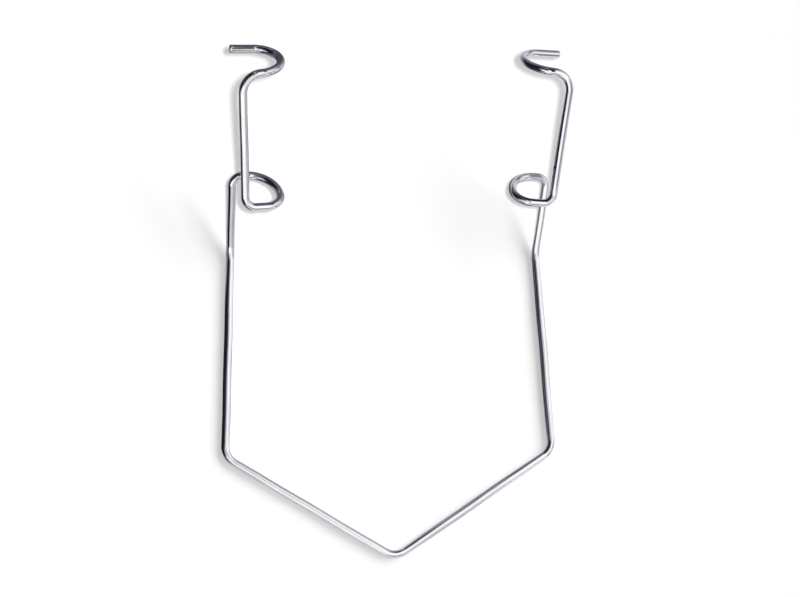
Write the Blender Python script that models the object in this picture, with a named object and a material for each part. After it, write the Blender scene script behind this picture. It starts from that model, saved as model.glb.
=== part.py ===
"""Wire eyelid speculum, bent from one length of round stainless wire.

The sprung handle lies flat on the ground: a wide V whose two arms turn up into the shanks. Past the
shanks the wire rises off the ground into two blades. Each blade is a straight bar with a rounded hook
at either end. In use the bar lies under the eyelid, the hooks wrap its margin, and the shank and the
free tip stay over it. Metres, +Y from the spring's apex to the free tips, +Z up.
"""
import math

import bpy
from mathutils import Matrix, Vector

COLLECTION_NAME = "eye_speculum"
NODE_NAME = "speculum_wire"

# The wire
WIRE_DIAMETER = 0.0008
TIP_EDGE_RADIUS = 0.00012
WIRE_BEVEL_RESOLUTION = 4
BEND_STEP = math.radians(8)
TIP_EDGE_STEPS = 3

# The sprung handle, flat on the ground
HANDLE_WIDTH = 0.0334
SPRING_DEPTH = 0.01024
SHANK_LENGTH = 0.02005
BLADE_ROOT_SPREAD = 0.0315
APEX_BEND_RADIUS = 0.00195
CORNER_BEND_RADIUS = 0.0019

# The blades, which a hand bender never brings up quite alike
BLADE_RISE_LEFT = math.radians(31.5)
BLADE_RISE_RIGHT = math.radians(25.5)
BLADE_SPLAY = math.radians(3)
BLADE_ROOT_RADIUS = 0.0031
STEM_LENGTH = 0.0081

# The hook between the stem and the blade bar
LOWER_HOOK_DEPTH = 0.0042
LOWER_HOOK_WIDTH = 0.0046
LOWER_HOOK_TILT = math.radians(19.5)
LOWER_NOSE_STEM_RADIUS = 0.00295
LOWER_NOSE_BAR_RADIUS = 0.00165
STEM_TOP_RADIUS = 0.001

# The bar that lies under the lid
BAR_LENGTH = 0.013
BAR_INSET = 0.0005
BAR_SPLAY = math.radians(1.5)
BAR_DROP = math.radians(5)
BAR_FOOT_RADIUS = 0.00105
BAR_TOP_RADIUS = 0.00175

# The hook between the bar and the free tip
UPPER_HOOK_DEPTH = 0.0042
UPPER_HOOK_WIDTH = 0.0052
UPPER_HOOK_TILT = math.radians(7.5)
UPPER_HOOK_ENTRY = 0.0005
UPPER_NOSE_BAR_RADIUS = 0.0028
UPPER_NOSE_TIP_RADIUS = 0.0024
TIP_OVERHANG = 0.0002
TIP_SPREAD = 0.0004

# The finish
STEEL_COLOUR = (0.66, 0.66, 0.70, 1.0)
STEEL_ROUGHNESS = 0.12


def clear_scene():
    """Remove whatever the file opened with."""
    for item in list(bpy.data.objects):
        bpy.data.objects.remove(item, do_unlink=True)


def polished_steel():
    """Bright drawn stainless steel."""
    material = bpy.data.materials.new("polished_steel")
    material.use_nodes = True
    shader = material.node_tree.nodes["Principled BSDF"]
    shader.inputs["Base Color"].default_value = STEEL_COLOUR
    shader.inputs["Metallic"].default_value = 1.0
    shader.inputs["Roughness"].default_value = STEEL_ROUGHNESS
    return material


def tilted(across, along, outward, tilt):
    """Turn the way across a hook about the outward axis, so that the hook leans off square."""
    turn = Matrix.Rotation(tilt, 3, outward)
    return (turn @ across).normalized(), (turn @ along).normalized()


def half_corners(rise):
    """Corners of the right-hand half, from the handle's corner to the free tip, with a radius each."""
    handle_corner = Vector((HANDLE_WIDTH / 2, SPRING_DEPTH, 0))
    blade_root = Vector((BLADE_ROOT_SPREAD / 2, SPRING_DEPTH + SHANK_LENGTH, 0))

    # Axes of the blade: along its stem, outward from the middle, and across from stem to bar
    level = math.cos(BLADE_SPLAY)
    along = Vector((math.sin(BLADE_SPLAY), level * math.cos(rise), level * math.sin(rise)))
    across = (Vector((0, 0, 1)) - along * along.z).normalized()
    outward = along.cross(across)

    stem_top = blade_root + along * STEM_LENGTH
    lower_across = tilted(across, along, outward, LOWER_HOOK_TILT)[0]
    lower_nose = stem_top - outward * LOWER_HOOK_DEPTH
    bar_foot = stem_top - outward * BAR_INSET + lower_across * LOWER_HOOK_WIDTH

    bar_way = (along + outward * math.tan(BAR_SPLAY) - across * math.tan(BAR_DROP)).normalized()
    bar_top = bar_foot + bar_way * BAR_LENGTH
    upper_across = tilted(across, along, outward, UPPER_HOOK_TILT)[0]
    upper_nose = bar_top - outward * UPPER_HOOK_DEPTH
    free_tip = bar_top + outward * TIP_OVERHANG - upper_across * (UPPER_HOOK_WIDTH + TIP_SPREAD)

    return [
        (handle_corner, CORNER_BEND_RADIUS),
        (blade_root, BLADE_ROOT_RADIUS),
        (stem_top, STEM_TOP_RADIUS),
        (lower_nose, LOWER_NOSE_STEM_RADIUS),
        (lower_nose + lower_across * LOWER_HOOK_WIDTH, LOWER_NOSE_BAR_RADIUS),
        (bar_foot, BAR_FOOT_RADIUS),
        (bar_top, BAR_TOP_RADIUS),
        (upper_nose - upper_across * UPPER_HOOK_ENTRY, UPPER_NOSE_BAR_RADIUS),
        (upper_nose - upper_across * UPPER_HOOK_WIDTH, UPPER_NOSE_TIP_RADIUS),
        (free_tip, 0.0),
    ]


def wire_corners():
    """Every corner of the wire, from the left tip round the spring's apex to the right tip."""
    left = [(Vector((-p.x, p.y, p.z)), radius) for p, radius in half_corners(BLADE_RISE_LEFT)]
    right = half_corners(BLADE_RISE_RIGHT)
    apex = (Vector((0, 0, 0)), APEX_BEND_RADIUS)
    return left[::-1] + [apex] + right


def bend_setbacks(points, radii):
    """How far before and after each corner its bend reaches; bends that meet share the run between them."""
    setbacks = [0.0] * len(points)
    turns = [0.0] * len(points)
    for i in range(1, len(points) - 1):
        turns[i] = (points[i] - points[i - 1]).angle(points[i + 1] - points[i])
        setbacks[i] = radii[i] * math.tan(turns[i] / 2)
    for i in range(len(points) - 1):
        run = (points[i + 1] - points[i]).length
        wanted = setbacks[i] + setbacks[i + 1]
        if wanted > run:
            setbacks[i] *= run / wanted
            setbacks[i + 1] *= run / wanted
    return setbacks, turns


def bent_path(corners):
    """Points along the wire's centre line: straight runs joined by round bends."""
    points = [point for point, radius in corners]
    setbacks, turns = bend_setbacks(points, [radius for point, radius in corners])
    path = [points[0]]
    for i in range(1, len(points) - 1):
        back = (points[i - 1] - points[i]).normalized()
        ahead = (points[i + 1] - points[i]).normalized()
        radius = setbacks[i] / math.tan(turns[i] / 2)
        centre = points[i] + (back + ahead).normalized() * radius / math.cos(turns[i] / 2)
        spoke = points[i] + back * setbacks[i] - centre
        axis = (-back).cross(ahead)
        steps = max(2, math.ceil(turns[i] / BEND_STEP))
        for k in range(steps + 1):
            path.append(centre + Matrix.Rotation(turns[i] * k / steps, 3, axis) @ spoke)
    path.append(points[-1])
    return path


def resting_place(path):
    """Set the path down: its length centred on the origin and the handle's underside on the ground."""
    ys = [point.y for point in path]
    lift = Vector((0, -(min(ys) + max(ys)) / 2, WIRE_DIAMETER / 2))
    return [point + lift for point in path]


def tip_points(end, inner):
    """Centre-line points and wire scale from a cut end inwards, over its rounded edge."""
    way = (inner - end).normalized()
    points = []
    for k in range(TIP_EDGE_STEPS + 1):
        angle = math.radians(90) * k / TIP_EDGE_STEPS
        depth = TIP_EDGE_RADIUS * (1 - math.cos(angle))
        shrink = TIP_EDGE_RADIUS * (1 - math.sin(angle))
        points.append((end + way * depth, 1 - shrink / (WIRE_DIAMETER / 2)))
    return points


def bend_wire(material):
    """The one piece: a round wire along the whole path, with filled and slightly rounded ends."""
    path = resting_place(bent_path(wire_corners()))
    left_end = tip_points(path[0], path[1])
    right_end = tip_points(path[-1], path[-2])
    points = left_end + [(point, 1.0) for point in path[1:-1]] + right_end[::-1]

    curve = bpy.data.curves.new(NODE_NAME, "CURVE")
    curve.dimensions = "3D"
    curve.bevel_depth = WIRE_DIAMETER / 2
    curve.bevel_resolution = WIRE_BEVEL_RESOLUTION
    curve.use_fill_caps = True
    spline = curve.splines.new("POLY")
    spline.points.add(len(points) - 1)
    for spline_point, (place, scale) in zip(spline.points, points):
        spline_point.co = (*place, 1.0)
        spline_point.radius = scale
    curve.materials.append(material)
    return bpy.data.objects.new(NODE_NAME, curve)


def main():
    clear_scene()
    collection = bpy.data.collections.new(COLLECTION_NAME)
    bpy.context.scene.collection.children.link(collection)
    collection.objects.link(bend_wire(polished_steel()))


main()
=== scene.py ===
"""Looks of the wire eye speculum: the polished wire at full detail, the studio round it and the camera.

The wire is swept again here, from the same sizes as the CAD part, with a fine round section that
flattens a little where the wire was bent. Metres, in the CAD model's frame, apart from the sheet of
painted floor shade and the cards, which are in millimetres.
"""
import math
from collections import namedtuple

import bpy
from mathutils import Matrix, Vector


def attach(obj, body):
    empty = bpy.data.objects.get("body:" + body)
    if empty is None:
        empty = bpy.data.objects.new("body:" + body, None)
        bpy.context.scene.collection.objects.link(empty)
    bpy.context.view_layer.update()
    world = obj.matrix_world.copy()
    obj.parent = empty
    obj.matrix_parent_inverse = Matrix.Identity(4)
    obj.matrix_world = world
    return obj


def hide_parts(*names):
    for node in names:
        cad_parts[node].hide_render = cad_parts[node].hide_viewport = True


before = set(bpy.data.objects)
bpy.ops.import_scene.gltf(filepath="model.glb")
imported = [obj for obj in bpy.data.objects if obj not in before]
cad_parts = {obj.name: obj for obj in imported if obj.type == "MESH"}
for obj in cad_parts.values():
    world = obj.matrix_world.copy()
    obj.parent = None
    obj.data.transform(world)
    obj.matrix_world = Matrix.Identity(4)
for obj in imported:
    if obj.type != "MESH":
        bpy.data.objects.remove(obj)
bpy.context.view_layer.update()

MILLIMETRE = 0.001
WHITE = (1.0, 1.0, 1.0, 1.0)

# The wire's bends, as in the CAD part
WIRE_RADIUS = 0.0004
TIP_EDGE_RADIUS = 0.00012
HANDLE_WIDTH = 0.0334
SPRING_DEPTH = 0.01024
SHANK_LENGTH = 0.02005
BLADE_ROOT_SPREAD = 0.0315
APEX_BEND_RADIUS = 0.00195
CORNER_BEND_RADIUS = 0.0019
BLADE_RISE_LEFT = math.radians(31.5)
BLADE_RISE_RIGHT = math.radians(25.5)
BLADE_SPLAY = math.radians(3)
BLADE_ROOT_RADIUS = 0.0031
STEM_LENGTH = 0.0081
LOWER_HOOK_DEPTH = 0.0042
LOWER_HOOK_WIDTH = 0.0046
LOWER_HOOK_TILT = math.radians(19.5)
LOWER_NOSE_STEM_RADIUS = 0.00295
LOWER_NOSE_BAR_RADIUS = 0.00165
STEM_TOP_RADIUS = 0.001
BAR_LENGTH = 0.013
BAR_INSET = 0.0005
BAR_SPLAY = math.radians(1.5)
BAR_DROP = math.radians(5)
BAR_FOOT_RADIUS = 0.00105
BAR_TOP_RADIUS = 0.00175
UPPER_HOOK_DEPTH = 0.0042
UPPER_HOOK_WIDTH = 0.0052
UPPER_HOOK_TILT = math.radians(7.5)
UPPER_HOOK_ENTRY = 0.0005
UPPER_NOSE_BAR_RADIUS = 0.0028
UPPER_NOSE_TIP_RADIUS = 0.0024
TIP_OVERHANG = 0.0002
TIP_SPREAD = 0.0004

# The wire's finer make
SIDES = 40
ARC_STEP = math.radians(2.5)
FEWEST_ARC_STEPS = 4
STRAIGHT_STEP = 0.0004
SHORTEST_RUN = 0.00004
TIP_EDGE_STEPS = 6
TIP_FACE_RINGS = 3
BEND_FLATTENING = 0.11
WAVER_HEIGHT = 0.000012
WAVER_LENGTHS = (0.0113, 0.0071)
WAVER_PHASE = 1.3

# The steel: colours, noise scales along and round the wire, ranges picked from the noise, roughnesses
STEEL_COLOUR = (0.635, 0.635, 0.655, 1.0)
STEEL_SHADE = (0.575, 0.575, 0.60, 1.0)
GROUND_STEEL = (0.55, 0.55, 0.61, 1.0)
STREAK_SCALE = (0.10, 5.0, 5.0)
HAIRLINE_SCALE = (0.9, 14.0, 14.0)
CLOUD_SCALE = (0.35, 0.8, 0.8)
GRAIN_SCALE = (1.0, 2.0, 18.0)
NOISE_ROUGHNESS = 0.6
SHADE_CLOUDS = (0.35, 0.65)
DULL_CLOUDS = (0.3, 0.7)
HAIRLINE_PEAKS = (0.55, 0.75)
GRAIN_RANGE = (0.3, 0.7)
BEND_RANGE = (0.0, 0.4)
POLISH_ROUGHNESS = (0.07, 0.13)
HAIRLINE_ROUGHNESS = (0.0, 0.10)
BEND_ROUGHNESS = (0.0, 0.05)
GROUND_ROUGHNESS = (0.2, 0.34)
HAIRLINE_CUT = (0.0, -0.3)
STREAK_HEIGHT = 0.0000015
GRAIN_HEIGHT = 0.000002

# The camera, as it stood for the photograph
CAMERA_YAW = math.radians(14.63)
CAMERA_PITCH = math.radians(-6.49)
CAMERA_ROLL = math.radians(1.82)
CAMERA_DISTANCE = 0.2140
CAMERA_SIDESTEP = 0.0013
CAMERA_AIM = Vector((0, 0.000781, 0.0004))
CAMERA_LENS = 96.3
CAMERA_SEES_FROM = 0.01
CAMERA_SEES_TO = 10.0

# The studio: compass directions in degrees from +X towards +Y, down in degrees from overhead
FLOOR_SIZE = 6.0
FLOOR_WHITE = 0.85
FLOOR_WHITE_SEEN = 1.05
FLOOR_FADE = (0.036, 0.060)
WORLD_LIGHT = 0.03
WORLD_SEEN = 1.0
KEY = dict(compass=29, down=57, distance=1.5, width=2.60, height=1.20, power=29.5)
LENS_LIGHT = dict(compass=204, down=11.8, distance=0.21, width=0.012, height=0.012, power=0.212)

# The light tent that the metal mirrors: white, with soft oval panels hung one over the other. Most of the
# panels' numbers aren't a design: a fitting program worked them out from the photograph
TENT_RADIUS = 0.6
TENT_WHITE = 1.70
TENT_SHADE_TINT = (0.92, 0.87, 1.16, 1.0)
TENT_TINT_RANGE = (0.1, 0.7)
TENT_ROUND_STEPS = 120
TENT_DOWN_STEPS = 48
TENT_FOOT = 94
PANEL_REACH_LIMIT = 0.02
PANELS = [
    # name, compass, down, reach sideways and upwards, softness of the edge, brightness
    ("far_grey", 57, 87, 1.09, 1.89, 0.12, 0.184),
    ("right_window", 11, 54, 1.34, 0.80, 1.00, 1.45),
    ("near_wall", 287, 64, 0.65, 0.36, 0.13, 0.29),
    ("dark_room", 154, 74, 1.75, 1.86, 0.80, 0.008),
    ("dark_room_top", 135, 66, 0.65, 1.55, 0.34, 0.025),
    ("near_strip", 280, 53, 1.88, 0.10, 0.50, 1.01),
    ("near_right_post", 331, 67, 0.17, 0.78, 0.69, 0.21),
    ("left_post", 230, 80, 0.35, 0.27, 0.15, 0.008),
    ("far_window", 51, 94, 0.15, 1.32, 0.36, 0.61),
    ("camera", 267, 0, 0.11, 0.71, 0.48, 0.042),
    ("camera_arm", 205, 26, 0.18, 0.24, 0.48, 0.40),
    ("right_post", 350, 79, 0.27, 1.31, 0.99, 0.50),
    ("near_right_grey", 318, 46, 0.50, 0.40, 0.80, 1.10),
    ("top_edge", 166, 30, 0.22, 0.34, 0.80, 0.12),
    ("right_horizon", 38, 88, 0.50, 0.22, 0.50, 0.34),
]

# Painted shade of the floor as the metal mirrors it: a grey sheet over the floor that only the metal looks
# through, painted darker away from the lamps and with painted shadows beside the wire. The same fitting
# program worked out its fall and four of its patches, of which three are as it gave them
SHADE_SHEET_HEIGHT = 0.03
SHADE_SHEET_REACH = 42.0
SHADE_SHEET_STEP = 0.6
SHADE_SHEET_FAR = (70.0, 120.0, 220.0, 400.0)
SHADE_SHEET_TINT_RANGE = (0.1, 0.8)
PAINTED_FLOOR_FALLOFF = dict(compass=133, width=36.0, shade=0.16)
# Painted shadows beside the wire's parts and painted shade on the far floor, as the metal sees them
PAINTED_FLOOR_SHADOWS = [
    # name, x and y of its middle, reach along x and y, softness of the edge, shade
    ("left_of_left_shank", -30.1, -6.4, 15.9, 18.5, 0.09, 0.02),
    ("left_of_right_shank", 9.0, -4.4, 9.6, 14.5, 0.16, 0.12),
    ("left_of_right_blade", 6.0, 14.0, 12.5, 10.1, 0.50, 0.13),
    ("behind_right_hook", -16.0, 44.0, 24.0, 26.0, 0.60, 0.10),
    ("far_behind", -8.0, 75.0, 40.0, 48.0, 0.50, 0.14),
    ("far_right", 110.0, 80.0, 70.0, 80.0, 0.40, 0.45),
    ("inside_right_arm", 7.0, -22.0, 8.6, 9.9, 0.80, 0.38),
]

# Dark cards near the wire, which only the metal sees, and only from the front
CARDS = [
    # name, middle, half its width, half its height, brightness
    ("left_card", (-40.0, 2.0, 6.5), (0.0, 30.0, 0.0), (0.0, 0.0, 6.5), 0.02),
    ("over_right_hook", (14.0, 26.5, 24.0), (0.0, 9.5, 0.0), (1.8, 0.0, 0.0), 0.02),
    ("right_top_card", (17.8, 70.0, 60.0), (0.0, 37.0, 0.0), (4.7, 0.0, 0.0), 0.02),
    ("left_top_card", (-9.8, 60.5, 60.0), (0.0, 46.5, 0.0), (4.8, 0.0, 0.0), 0.10),
    ("behind_right_loop", (14.2, 13.0, 11.0), (2.3, 0.0, 0.0), (0.0, 0.0, 4.6), 0.03),
    ("over_right_loop", (20.2, 14.0, 14.0), (0.0, 7.0, 0.0), (2.9, 0.0, 0.0), 0.40),
    ("inside_right_blade", (5.0, 19.5, 11.0), (0.0, 10.5, 0.0), (0.0, 0.0, 6.0), 0.02),
]

# A stop along the wire's centre line: flat says how much the bend flattens the wire towards inner
Station = namedtuple("Station", "place way flat inner")
# A station with its cross axes and its length along the wire
Section = namedtuple("Section", "place way side up flat inner length")
# The points round the wire at one length along it
Ring = namedtuple("Ring", "points length flat")


# Scene objects
def show(name, data):
    """A new object in the scene."""
    item = bpy.data.objects.new(name, data)
    bpy.context.scene.collection.objects.link(item)
    return item


def place_camera():
    """A long lens above the wire, a little from the handle's side and from the left."""
    to_view = (Matrix.Rotation(CAMERA_ROLL, 3, "Z") @ Matrix.Rotation(CAMERA_PITCH, 3, "X")
               @ Matrix.Rotation(CAMERA_YAW, 3, "Y"))
    to_world = to_view.transposed()
    data = bpy.data.cameras.new("camera")
    data.lens = CAMERA_LENS
    data.clip_start = CAMERA_SEES_FROM
    data.clip_end = CAMERA_SEES_TO
    camera = show("camera", data)
    camera.matrix_world = to_world.to_4x4()
    camera.location = to_world @ Vector((CAMERA_SIDESTEP, 0, CAMERA_DISTANCE)) + CAMERA_AIM
    bpy.context.scene.camera = camera


# Centre line
def half_corners(rise):
    """Corners of the right-hand half, from the handle's corner to the free tip, with a radius each."""
    handle_corner = Vector((HANDLE_WIDTH / 2, SPRING_DEPTH, 0))
    blade_root = Vector((BLADE_ROOT_SPREAD / 2, SPRING_DEPTH + SHANK_LENGTH, 0))

    level = math.cos(BLADE_SPLAY)
    along = Vector((math.sin(BLADE_SPLAY), level * math.cos(rise), level * math.sin(rise)))
    across = (Vector((0, 0, 1)) - along * along.z).normalized()
    outward = along.cross(across)

    stem_top = blade_root + along * STEM_LENGTH
    lower_across = Matrix.Rotation(LOWER_HOOK_TILT, 3, outward) @ across
    lower_nose = stem_top - outward * LOWER_HOOK_DEPTH
    bar_foot = stem_top - outward * BAR_INSET + lower_across * LOWER_HOOK_WIDTH

    bar_way = (along + outward * math.tan(BAR_SPLAY) - across * math.tan(BAR_DROP)).normalized()
    bar_top = bar_foot + bar_way * BAR_LENGTH
    upper_across = Matrix.Rotation(UPPER_HOOK_TILT, 3, outward) @ across
    upper_nose = bar_top - outward * UPPER_HOOK_DEPTH
    free_tip = bar_top + outward * TIP_OVERHANG - upper_across * (UPPER_HOOK_WIDTH + TIP_SPREAD)

    return [
        (handle_corner, CORNER_BEND_RADIUS),
        (blade_root, BLADE_ROOT_RADIUS),
        (stem_top, STEM_TOP_RADIUS),
        (lower_nose, LOWER_NOSE_STEM_RADIUS),
        (lower_nose + lower_across * LOWER_HOOK_WIDTH, LOWER_NOSE_BAR_RADIUS),
        (bar_foot, BAR_FOOT_RADIUS),
        (bar_top, BAR_TOP_RADIUS),
        (upper_nose - upper_across * UPPER_HOOK_ENTRY, UPPER_NOSE_BAR_RADIUS),
        (upper_nose - upper_across * UPPER_HOOK_WIDTH, UPPER_NOSE_TIP_RADIUS),
        (free_tip, 0.0),
    ]


def wire_corners():
    """Every corner of the wire, from the left tip round the spring's apex to the right tip."""
    left = [(Vector((-p.x, p.y, p.z)), radius) for p, radius in half_corners(BLADE_RISE_LEFT)]
    apex = (Vector((0, 0, 0)), APEX_BEND_RADIUS)
    return left[::-1] + [apex] + half_corners(BLADE_RISE_RIGHT)


def bend_setbacks(points, radii):
    """How far each corner's bend reaches, and how far it turns; bends that meet share their run."""
    setbacks = [0.0] * len(points)
    turns = [0.0] * len(points)
    for i in range(1, len(points) - 1):
        turns[i] = (points[i] - points[i - 1]).angle(points[i + 1] - points[i])
        setbacks[i] = radii[i] * math.tan(turns[i] / 2)
    for i in range(len(points) - 1):
        run = (points[i + 1] - points[i]).length
        wanted = setbacks[i] + setbacks[i + 1]
        if wanted > run:
            setbacks[i] *= run / wanted
            setbacks[i + 1] *= run / wanted
    return setbacks, turns


def straight_stations(start, end):
    """Stations of a straight run, without its end."""
    way = (end - start).normalized()
    steps = max(1, math.ceil((end - start).length / STRAIGHT_STEP))
    return [Station(start.lerp(end, k / steps), way, 0.0, way.orthogonal()) for k in range(steps)]


def bend_stations(corner, back, ahead, setback, turn):
    """Stations round one bend, which flattens towards its middle, more so the tighter it is."""
    radius = setback / math.tan(turn / 2)
    centre = corner + (back + ahead).normalized() * radius / math.cos(turn / 2)
    spoke = corner + back * setback - centre
    axis = (-back).cross(ahead)
    steps = max(FEWEST_ARC_STEPS, math.ceil(turn / ARC_STEP))
    stations = []
    for k in range(steps + 1):
        swing = Matrix.Rotation(turn * k / steps, 3, axis)
        flat = BEND_FLATTENING * WIRE_RADIUS / radius * math.sin(math.pi * k / steps) ** 2
        stations.append(Station(centre + swing @ spoke, swing @ -back, flat, (swing @ spoke).normalized()))
    return stations


def wire_stations():
    """Stations along the whole wire, tip to tip."""
    corners = wire_corners()
    points = [point for point, radius in corners]
    setbacks, turns = bend_setbacks(points, [radius for point, radius in corners])
    stations = []
    here = points[0]
    for i in range(1, len(points) - 1):
        back = (points[i - 1] - points[i]).normalized()
        ahead = (points[i + 1] - points[i]).normalized()
        bend_start = points[i] + back * setbacks[i]
        if (bend_start - here).length > SHORTEST_RUN:
            stations += straight_stations(here, bend_start)
        bend = bend_stations(points[i], back, ahead, setbacks[i], turns[i])
        stations += bend[:-1]
        here = bend[-1].place
    stations += straight_stations(here, points[-1])
    stations.append(stations[-1]._replace(place=points[-1]))
    return stations


# Wire mesh
def resting_shift(stations):
    """Sets the wire down: its length centred on the origin and the handle's underside on the ground."""
    ys = [station.place.y for station in stations]
    return Vector((0, -(min(ys) + max(ys)) / 2, WIRE_RADIUS))


def waver(length):
    """How far off straight hand bending leaves the wire at this length along it."""
    first, second = WAVER_LENGTHS
    return (WAVER_HEIGHT * math.sin(length / first * math.tau),
            WAVER_HEIGHT * math.sin(length / second * math.tau + WAVER_PHASE))


def wire_sections():
    """The stations set down on the ground, with cross axes that are carried along without twist."""
    stations = wire_stations()
    shift = resting_shift(stations)
    way = stations[0].way
    side = way.orthogonal().normalized()
    last = stations[0].place
    length = 0.0
    sections = []
    for place, ahead, flat, inner in stations:
        side = way.rotation_difference(ahead) @ side
        side = (side - ahead * side.dot(ahead)).normalized()
        up = ahead.cross(side)
        length += (place - last).length
        way, last = ahead, place
        off_side, off_up = waver(length)
        middle = place + shift + side * off_side + up * off_up
        sections.append(Section(middle, ahead, side, up, flat, inner, length))
    return sections


def ring_points(middle, section, scale, flat):
    """One round of the wire: squeezed along the bend's plane and a little wider across it."""
    points = []
    for k in range(SIDES):
        angle = math.tau * k / SIDES
        offset = (section.side * math.cos(angle) + section.up * math.sin(angle)) * WIRE_RADIUS * scale
        radial = offset.dot(section.inner)
        across = offset - section.inner * radial
        points.append(middle + section.inner * radial * (1 - flat) + across * (1 + flat / 2))
    return points


def tip_profile():
    """Depth from the cut face and wire scale, from the face's middle over its rounded edge."""
    flat_scale = 1 - TIP_EDGE_RADIUS / WIRE_RADIUS
    profile = [(0.0, flat_scale * k / TIP_FACE_RINGS) for k in range(1, TIP_FACE_RINGS)]
    for k in range(TIP_EDGE_STEPS + 1):
        angle = math.radians(90) * k / TIP_EDGE_STEPS
        depth = TIP_EDGE_RADIUS * (1 - math.cos(angle))
        profile.append((depth, 1 - TIP_EDGE_RADIUS * (1 - math.sin(angle)) / WIRE_RADIUS))
    return profile


def tip_rings(section, inward):
    """Rings over one tip, from its face inwards; inward is 1 at the wire's start and -1 at its end."""
    rings = []
    for depth, scale in tip_profile():
        middle = section.place + section.way * depth * inward
        rings.append(Ring(ring_points(middle, section, scale, 0.0), section.length + depth * inward, 0.0))
    return rings


def wire_rings(sections):
    """Rings from the left tip to the right tip."""
    rings = tip_rings(sections[0], 1)
    for section in sections[1:-1]:
        points = ring_points(section.place, section, 1.0, section.flat)
        rings.append(Ring(points, section.length, section.flat))
    return rings + tip_rings(sections[-1], -1)[::-1]


def wire_faces(ring_count):
    """Quads between neighbouring rings, and a fan on each tip's middle point."""
    faces = [(0, 1 + (k + 1) % SIDES, 1 + k) for k in range(SIDES)]
    for r in range(ring_count - 1):
        base = 1 + r * SIDES
        for k in range(SIDES):
            after = (k + 1) % SIDES
            faces.append((base + k, base + after, base + SIDES + after, base + SIDES + k))
    base = 1 + (ring_count - 1) * SIDES
    last_point = base + SIDES
    return faces + [(last_point, base + k, base + (k + 1) % SIDES) for k in range(SIDES)]


def wire_mesh():
    """The swept wire as one closed mesh, with its own coordinates along and round the wire."""
    sections = wire_sections()
    rings = wire_rings(sections)
    points = [sections[0].place]
    wire_space = [(0.0, 0.0, 0.0)]
    bends = [0.0]
    for ring in rings:
        points += ring.points
        bends += [ring.flat / BEND_FLATTENING] * SIDES
        for k in range(SIDES):
            angle = math.tau * k / SIDES
            wire_space.append((ring.length / MILLIMETRE, math.cos(angle), math.sin(angle)))
    points.append(sections[-1].place)
    wire_space.append((sections[-1].length / MILLIMETRE, 0.0, 0.0))
    bends.append(0.0)

    faces = wire_faces(len(rings))
    mesh = bpy.data.meshes.new("wire")
    mesh.from_pydata([tuple(point) for point in points], [], faces)
    mesh.polygons.foreach_set("use_smooth", [True] * len(faces))
    space = mesh.attributes.new("wire_space", "FLOAT_VECTOR", "POINT")
    space.data.foreach_set("vector", [value for row in wire_space for value in row])
    bend = mesh.attributes.new("bend", "FLOAT", "POINT")
    bend.data.foreach_set("value", bends)
    mesh.update()
    return mesh


def give_tips_second_material(mesh):
    """The flat cut faces at the two tips take the second material."""
    tip_faces = SIDES * TIP_FACE_RINGS
    for polygon in list(mesh.polygons)[:tip_faces] + list(mesh.polygons)[-tip_faces:]:
        polygon.material_index = 1
        polygon.use_smooth = False


# Shader nodes
def add(tree, kind, **settings):
    """A new node with its settings, and inputs by name."""
    node = tree.nodes.new(kind)
    for key, value in settings.items():
        if hasattr(node, key):
            setattr(node, key, value)
        else:
            node.inputs[key].default_value = value
    return node


def spread(tree, source, old_range, new_range):
    """A value stretched from one range to another, and held inside it."""
    node = add(tree, "ShaderNodeMapRange")
    for name, value in zip(("From Min", "From Max", "To Min", "To Max"), (*old_range, *new_range)):
        node.inputs[name].default_value = value
    tree.links.new(source, node.inputs["Value"])
    return node.outputs["Result"]


def maths(tree, operation, *sources):
    """Several values added or multiplied, one after the other."""
    result = sources[0]
    for source in sources[1:]:
        node = add(tree, "ShaderNodeMath", operation=operation)
        tree.links.new(result, node.inputs[0])
        tree.links.new(source, node.inputs[1])
        result = node.outputs[0]
    return result


def blend_shaders(tree, share, first, second):
    """Two shaders mixed, with the second one's share."""
    mix = add(tree, "ShaderNodeMixShader")
    tree.links.new(share, mix.inputs["Fac"])
    tree.links.new(first, mix.inputs[1])
    tree.links.new(second, mix.inputs[2])
    return mix.outputs["Shader"]


def lilac_in_the_dark(tree, brightness, tint_range):
    """White at the range's bright end, and the tent's lilac shade at its dark end."""
    tint = add(tree, "ShaderNodeMix", data_type="RGBA")
    tree.links.new(spread(tree, brightness, tint_range, (0.0, 1.0)), tint.inputs["Factor"])
    tint.inputs["A"].default_value = TENT_SHADE_TINT
    tint.inputs["B"].default_value = WHITE
    return tint.outputs["Result"]


def mesh_value(tree, name):
    """A value that the mesh holds at each of its points."""
    return add(tree, "ShaderNodeAttribute", attribute_name=name).outputs["Fac"]


def bare_material(name):
    """A new material without a shader, and its node tree."""
    material = bpy.data.materials.new(name)
    material.use_nodes = True
    tree = material.node_tree
    tree.nodes.remove(tree.nodes["Principled BSDF"])
    return material, tree


def set_surface(tree, shader):
    tree.links.new(shader, tree.nodes["Material Output"].inputs["Surface"])


# Steel
def wire_noise(tree, scale, detail):
    """Noise in the wire's own coordinates: along it in millimetres, and round it."""
    place = add(tree, "ShaderNodeAttribute", attribute_name="wire_space")
    mapping = add(tree, "ShaderNodeMapping", Scale=scale)
    noise = add(tree, "ShaderNodeTexNoise", Scale=1.0, Detail=detail, Roughness=NOISE_ROUGHNESS)
    tree.links.new(place.outputs["Vector"], mapping.inputs["Vector"])
    tree.links.new(mapping.outputs["Vector"], noise.inputs["Vector"])
    return noise.outputs["Fac"]


def emboss(tree, shader, heights, height):
    """Presses a pattern of heights into the shader's surface."""
    bump = add(tree, "ShaderNodeBump", Strength=1.0, Distance=height)
    tree.links.new(heights, bump.inputs["Height"])
    tree.links.new(bump.outputs["Normal"], shader.inputs["Normal"])


def metal(name):
    """A new metal material, its node tree and its shader."""
    material = bpy.data.materials.new(name)
    material.use_nodes = True
    tree = material.node_tree
    shader = tree.nodes["Principled BSDF"]
    shader.inputs["Metallic"].default_value = 1.0
    return material, tree, shader


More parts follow.
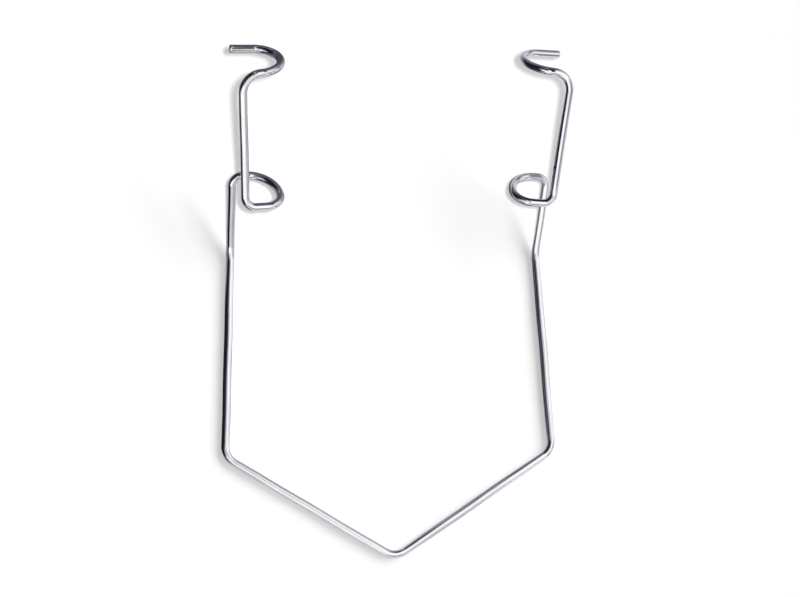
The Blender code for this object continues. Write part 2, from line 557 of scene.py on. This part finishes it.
def polished_steel():
    """Bright drawn wire: streaks along it, cloudy polish, hairline scratches, duller in the bends."""
    material, tree, shader = metal("polished_steel")
    streaks = wire_noise(tree, STREAK_SCALE, 4)
    hairlines = wire_noise(tree, HAIRLINE_SCALE, 2)
    clouds = wire_noise(tree, CLOUD_SCALE, 3)
    bend = mesh_value(tree, "bend")

    colour = add(tree, "ShaderNodeMix", data_type="RGBA")
    tree.links.new(spread(tree, clouds, SHADE_CLOUDS, (0.0, 1.0)), colour.inputs["Factor"])
    colour.inputs["A"].default_value = STEEL_COLOUR
    colour.inputs["B"].default_value = STEEL_SHADE
    tree.links.new(colour.outputs["Result"], shader.inputs["Base Color"])

    roughness = maths(tree, "ADD", spread(tree, clouds, DULL_CLOUDS, POLISH_ROUGHNESS),
                      spread(tree, hairlines, HAIRLINE_PEAKS, HAIRLINE_ROUGHNESS),
                      spread(tree, bend, BEND_RANGE, BEND_ROUGHNESS))
    tree.links.new(roughness, shader.inputs["Roughness"])

    scratches = spread(tree, hairlines, HAIRLINE_PEAKS, HAIRLINE_CUT)
    emboss(tree, shader, maths(tree, "ADD", streaks, scratches), STREAK_HEIGHT)
    return material


def ground_steel():
    """The cut tips: ground flat across, with a finer and duller grain."""
    material, tree, shader = metal("ground_steel")
    shader.inputs["Base Color"].default_value = GROUND_STEEL
    grain = wire_noise(tree, GRAIN_SCALE, 3)
    tree.links.new(spread(tree, grain, GRAIN_RANGE, GROUND_ROUGHNESS), shader.inputs["Roughness"])
    emboss(tree, shader, grain, GRAIN_HEIGHT)
    return material


def make_wire():
    mesh = wire_mesh()
    mesh.materials.append(polished_steel())
    mesh.materials.append(ground_steel())
    give_tips_second_material(mesh)
    wire = show("wire", mesh)
    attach(wire, "root")
    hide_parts("speculum_wire")


# Floor and world
def seen_by_eye_and_metal(tree):
    """1 for camera and glossy rays, 0 for the light that falls on things."""
    path = add(tree, "ShaderNodeLightPath")
    return maths(tree, "ADD", path.outputs["Is Camera Ray"], path.outputs["Is Glossy Ray"],
                 path.outputs["Is Transmission Ray"])


def distance_from_origin(tree):
    place = add(tree, "ShaderNodeNewGeometry").outputs["Position"]
    distance = add(tree, "ShaderNodeVectorMath", operation="LENGTH")
    tree.links.new(place, distance.inputs[0])
    return distance.outputs["Value"]


def make_floor():
    """A plain white floor that shows the wire's shadow and runs out into even white all round it."""
    half = FLOOR_SIZE / 2
    corners = [(-half, -half, 0), (half, -half, 0), (half, half, 0), (-half, half, 0)]
    mesh = bpy.data.meshes.new("floor")
    mesh.from_pydata(corners, [], [(0, 1, 2, 3)])

    material, tree = bare_material("floor")
    seen = seen_by_eye_and_metal(tree)
    shaded = add(tree, "ShaderNodeBsdfDiffuse")
    white = spread(tree, seen, (0.0, 1.0), (FLOOR_WHITE, FLOOR_WHITE_SEEN))
    tree.links.new(white, shaded.inputs["Color"])
    even_white = add(tree, "ShaderNodeEmission", Strength=1.0)
    far = maths(tree, "MULTIPLY", spread(tree, distance_from_origin(tree), FLOOR_FADE, (0.0, 1.0)), seen)
    set_surface(tree, blend_shaders(tree, far, shaded.outputs["BSDF"], even_white.outputs["Emission"]))
    material.cycles.emission_sampling = "NONE"
    mesh.materials.append(material)
    show("floor", mesh)


def make_world():
    """White for the eye and the metal, and a weak light all round."""
    world = bpy.data.worlds.new("studio")
    bpy.context.scene.world = world
    world.use_nodes = True
    tree = world.node_tree
    background = tree.nodes["Background"]
    background.inputs["Color"].default_value = WHITE
    strength = spread(tree, seen_by_eye_and_metal(tree), (0.0, 1.0), (WORLD_LIGHT, WORLD_SEEN))
    tree.links.new(strength, background.inputs["Strength"])


# What only the metal sees
def show_to_metal(name, mesh, material):
    """A piece of the studio that shows in reflections only."""
    mesh.materials.append(material)
    item = show(name, mesh)
    item.visible_camera = False
    item.visible_diffuse = False
    item.visible_transmission = False
    item.visible_volume_scatter = False
    item.visible_shadow = False


def toward(compass, down):
    """The direction at so many degrees round from +X and down from overhead."""
    compass, down = math.radians(compass), math.radians(down)
    return Vector((math.sin(down) * math.cos(compass), math.sin(down) * math.sin(compass), math.cos(down)))


def smooth(value):
    """A value held between 0 and 1 and eased at both ends."""
    value = min(max(value, 0.0), 1.0)
    return value * value * (3 - 2 * value)


def panel_cover(direction, compass, down, sideways, upwards, softness):
    """How fully an oval panel covers a direction: 1 inside, fading out over its soft edge."""
    centre = toward(compass, down)
    east = Vector((-math.sin(math.radians(compass)), math.cos(math.radians(compass)), 0))
    north = centre.cross(east)
    facing = direction.dot(centre)
    if facing < PANEL_REACH_LIMIT:
        return 0.0
    out = math.hypot(direction.dot(east) / facing / sideways, direction.dot(north) / facing / upwards)
    return smooth((1 - out) / softness)


def tent_level(direction):
    """How bright the tent is in a direction, with its panels laid on in their order."""
    level = TENT_WHITE
    for name, compass, down, sideways, upwards, softness, brightness in PANELS:
        cover = panel_cover(direction, compass, down, sideways, upwards, softness)
        level += (brightness - level) * cover
    return level


def tent_mesh():
    """A dome round the wire that reaches a little below the floor, with its brightness at each point."""
    points = [Vector((0, 0, 1))]
    for i in range(1, TENT_DOWN_STEPS + 1):
        for k in range(TENT_ROUND_STEPS):
            points.append(toward(360 * k / TENT_ROUND_STEPS, TENT_FOOT * i / TENT_DOWN_STEPS))
    faces = [(0, 1 + k, 1 + (k + 1) % TENT_ROUND_STEPS) for k in range(TENT_ROUND_STEPS)]
    for i in range(TENT_DOWN_STEPS - 1):
        base = 1 + i * TENT_ROUND_STEPS
        below = base + TENT_ROUND_STEPS
        for k in range(TENT_ROUND_STEPS):
            after = (k + 1) % TENT_ROUND_STEPS
            faces.append((base + k, below + k, below + after, base + after))
    mesh = bpy.data.meshes.new("light_tent")
    mesh.from_pydata([tuple(point * TENT_RADIUS) for point in points], [], faces)
    level = mesh.attributes.new("level", "FLOAT", "POINT")
    level.data.foreach_set("value", [tent_level(point) for point in points])
    return mesh


def make_tent():
    """The light tent, which glows as its panels say."""
    material, tree = bare_material("light_tent")
    strength = mesh_value(tree, "level")
    emission = add(tree, "ShaderNodeEmission")
    tree.links.new(lilac_in_the_dark(tree, strength, TENT_TINT_RANGE), emission.inputs["Color"])
    tree.links.new(strength, emission.inputs["Strength"])
    set_surface(tree, emission.outputs["Emission"])
    show_to_metal("light_tent", tent_mesh(), material)


def painted_floor_shade(x, y):
    """Painted shade: how much of the floor's light the metal sees through the sheet at a place in
    millimetres, darker away from the lamps and in painted shadows beside the wire.
    """
    fall = math.radians(PAINTED_FLOOR_FALLOFF["compass"])
    out = (x * math.cos(fall) + y * math.sin(fall)) / PAINTED_FLOOR_FALLOFF["width"]
    shade = 1 + (PAINTED_FLOOR_FALLOFF["shade"] - 1) * smooth(out)
    for name, middle_x, middle_y, reach_x, reach_y, softness, darkest in PAINTED_FLOOR_SHADOWS:
        out = math.hypot((x - middle_x) / reach_x, (y - middle_y) / reach_y)
        shade += (min(shade, darkest) - shade) * smooth((1 - out) / softness)
    return shade


def shade_sheet_mesh():
    """A level sheet, finely divided near the wire, with its painted shade at each point."""
    steps = int(SHADE_SHEET_REACH / SHADE_SHEET_STEP)
    near = [SHADE_SHEET_STEP * k for k in range(-steps, steps + 1)]
    marks = [-far for far in reversed(SHADE_SHEET_FAR)] + near + list(SHADE_SHEET_FAR)
    row = len(marks)
    points = [(x * MILLIMETRE, y * MILLIMETRE, SHADE_SHEET_HEIGHT * MILLIMETRE) for y in marks for x in marks]
    faces = [(j * row + i, j * row + i + 1, (j + 1) * row + i + 1, (j + 1) * row + i)
             for j in range(row - 1) for i in range(row - 1)]
    mesh = bpy.data.meshes.new("painted_floor_shade_sheet")
    mesh.from_pydata(points, [], faces)
    shade = mesh.attributes.new("shade", "FLOAT", "POINT")
    shade.data.foreach_set("value", [painted_floor_shade(x, y) for y in marks for x in marks])
    return mesh


def make_shade_sheet():
    """The sheet of painted shade just over the floor, through which the metal sees the floor."""
    material, tree = bare_material("painted_floor_shade_sheet")
    shade = mesh_value(tree, "shade")
    tint = add(tree, "ShaderNodeMix", data_type="RGBA", blend_type="MULTIPLY")
    tint.inputs["Factor"].default_value = 1.0
    tree.links.new(shade, tint.inputs["A"])
    tree.links.new(lilac_in_the_dark(tree, shade, SHADE_SHEET_TINT_RANGE), tint.inputs["B"])
    through = add(tree, "ShaderNodeBsdfTransparent")
    tree.links.new(tint.outputs["Result"], through.inputs["Color"])
    set_surface(tree, through.outputs["BSDF"])
    show_to_metal("painted_floor_shade_sheet", shade_sheet_mesh(), material)


def make_card(name, middle, half_width, half_height, brightness):
    """A flat card that the metal sees from its front and sees through from its back."""
    middle, across, up = Vector(middle), Vector(half_width), Vector(half_height)
    corners = [middle - across - up, middle + across - up, middle + across + up, middle - across + up]
    mesh = bpy.data.meshes.new(name)
    mesh.from_pydata([tuple(corner * MILLIMETRE) for corner in corners], [], [(0, 1, 2, 3)])

    material, tree = bare_material(name)
    front = add(tree, "ShaderNodeEmission", Color=TENT_SHADE_TINT, Strength=brightness)
    back = add(tree, "ShaderNodeBsdfTransparent")
    seen_from_back = add(tree, "ShaderNodeNewGeometry").outputs["Backfacing"]
    set_surface(tree, blend_shaders(tree, seen_from_back, front.outputs["Emission"], back.outputs["BSDF"]))
    show_to_metal(name, mesh, material)


# Lamps
def soft_lamp(name, compass, down, distance, width, height, power):
    """An oval soft lamp that faces the wire; the metal sees the tent and the cards, and not the lamps."""
    data = bpy.data.lights.new(name, "AREA")
    data.shape = "ELLIPSE"
    data.size = width
    data.size_y = height
    data.energy = power
    lamp = show(name, data)
    direction = toward(compass, down)
    lamp.location = direction * distance
    lamp.rotation_euler = direction.to_track_quat("Z", "Y").to_euler()
    lamp.visible_glossy = False


def main():
    place_camera()
    make_wire()
    make_floor()
    make_world()
    # Painted shade and shadows on the floor, seen only in the metal
    make_tent()
    make_shade_sheet()
    for row in CARDS:
        make_card(*row)
    soft_lamp("key", **KEY)
    soft_lamp("lens_light", **LENS_LIGHT)


main()
bpy.context.scene.view_settings.view_transform = "Standard"
